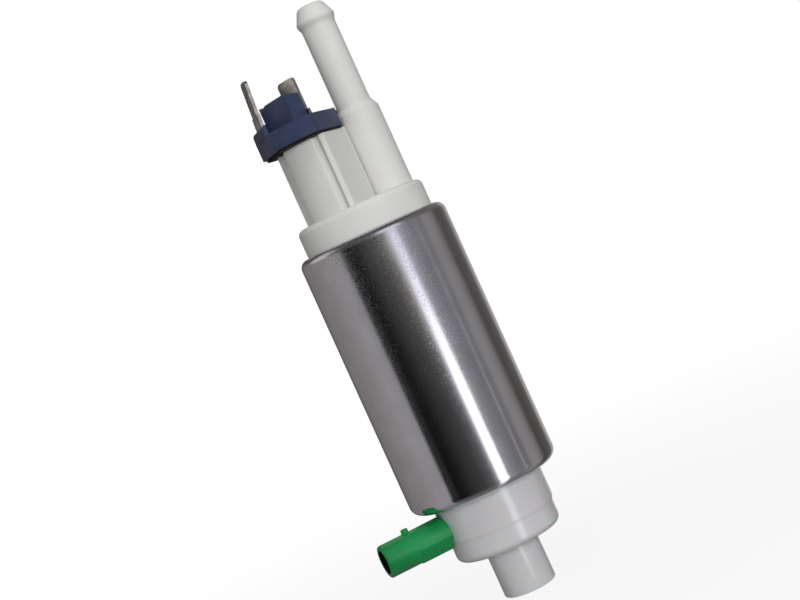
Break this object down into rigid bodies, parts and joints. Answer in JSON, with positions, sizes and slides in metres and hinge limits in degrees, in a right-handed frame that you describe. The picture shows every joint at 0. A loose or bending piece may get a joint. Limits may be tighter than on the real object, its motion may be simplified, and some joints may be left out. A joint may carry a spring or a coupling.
{
  "type": "fuel pump",
  "caption": "In-tank electric fuel pump: rolled steel can with a barbed outlet tube, terminal blades on a blue retainer, a plain inlet tube and a side jet nozzle.",
  "frame": {"origin": "middle of the steel shell, on its axis", "axes": "+Z along the shell's axis towards the outlet, -X towards the jet nozzle, +X towards the outlet tube"},
  "size_m": [0.0496, 0.038, 0.1508],
  "materials": {
    "plated_steel": "bright plated sheet, faintly mottled",
    "ivory_plastic": "satin moulded nylon",
    "milky_plastic": "slightly translucent acetal",
    "blue_plastic": "matte moulded",
    "green_plastic": "satin moulded",
    "black_rubber": "smooth",
    "tinned_brass": "tin plated, dull",
    "brass": "turned",
    "bearing_bronze": "sintered, oiled",
    "spring_steel": "drawn wire",
    "graphite": "pressed carbon",
    "copper": "drawn",
    "mild_steel": "plain",
    "ferrite": "ground ceramic",
    "ground_steel": "ground",
    "enamelled_wire": "enamelled",
    "white_plastic": "moulded",
    "moulding_brown": "phenolic moulding",
    "sintered_steel": "sintered, fine grained",
    "cast_aluminium": "machined casting",
    "dark_plastic": "moulded"
  },
  "bodies": {
    "root": {"shell": "plated_steel", "outlet_cap": "ivory_plastic", "outlet_cap_seal": "black_rubber", "check_valve_seat": "brass", "check_valve_spring": "spring_steel", "upper_bearing": "bearing_bronze", "retainer_gasket": "black_rubber", "terminal_retainer": "blue_plastic", "positive_terminal": "tinned_brass", "negative_terminal": "tinned_brass", "brush_spring_positive": "spring_steel", "brush_spring_negative": "spring_steel", "brush_lead_positive": "copper", "brush_lead_negative": "copper", "flux_ring": "mild_steel", "magnet_1": "ferrite", "magnet_2": "ferrite", "magnet_3": "ferrite", "magnet_4": "ferrite", "magnet_clips": "spring_steel", "lower_bearing": "bearing_bronze", "cam_ring": "sintered_steel", "outlet_port_plate": "cast_aluminium", "inlet_port_plate": "cast_aluminium", "pump_screws": "ground_steel", "relief_spring": "spring_steel", "inlet_housing": "milky_plastic", "inlet_seal": "black_rubber", "jet_nozzle": "green_plastic", "nozzle_seal": "black_rubber"},
    "rotor": {"rotor_shaft": "ground_steel", "armature_core": "mild_steel", "armature_windings": "enamelled_wire", "armature_insulator_upper": "white_plastic", "armature_insulator_lower": "white_plastic", "commutator_hub": "moulding_brown", "commutator_segments": "copper", "thrust_washer_upper": "dark_plastic", "thrust_washer_lower": "dark_plastic", "drive_coupling": "white_plastic", "inner_rotor": "sintered_steel"},
    "outer_rotor": {"outer_rotor": "sintered_steel"},
    "brush_positive": {"brush_positive": "graphite"},
    "brush_negative": {"brush_negative": "graphite"},
    "check_valve_poppet": {"check_valve_poppet": "dark_plastic"},
    "relief_ball": {"relief_ball": "ground_steel"}
  },
  "joints": [
    {"name": "rotor_spin", "type": "hinge", "parent": "root", "child": "rotor", "pos_m": [0, 0, 0], "axis": [0, 0, 1], "continuous": true},
    {"name": "outer_rotor_spin", "type": "hinge", "parent": "root", "child": "outer_rotor", "pos_m": [0.001, 0, 0], "axis": [0, 0, 1], "continuous": true},
    {"name": "brush_positive_slide", "type": "slide", "parent": "root", "child": "brush_positive", "axis": [0, 0, 1], "range_m": [0, 0.003], "stiffness_N_per_m": 60, "springref_m": -0.015, "deforming": ["brush_spring_positive", "brush_lead_positive"]},
    {"name": "brush_negative_slide", "type": "slide", "parent": "root", "child": "brush_negative", "axis": [0, 0, 1], "range_m": [0, 0.003], "stiffness_N_per_m": 60, "springref_m": -0.015, "deforming": ["brush_spring_negative", "brush_lead_negative"]},
    {"name": "check_valve_lift", "type": "slide", "parent": "root", "child": "check_valve_poppet", "axis": [0, 0, 1], "range_m": [0, 0.0025], "stiffness_N_per_m": 40, "springref_m": -0.01, "deforming": ["check_valve_spring"]},
    {"name": "relief_valve_lift", "type": "slide", "parent": "root", "child": "relief_ball", "axis": [0, 0, -1], "range_m": [0, 0.0015], "stiffness_N_per_m": 500, "springref_m": -0.004, "deforming": ["relief_spring"]}
  ],
  "couplings": [
    {"joint": "outer_rotor_spin", "follows": "rotor_spin", "ratio": 0.85714}
  ]
}
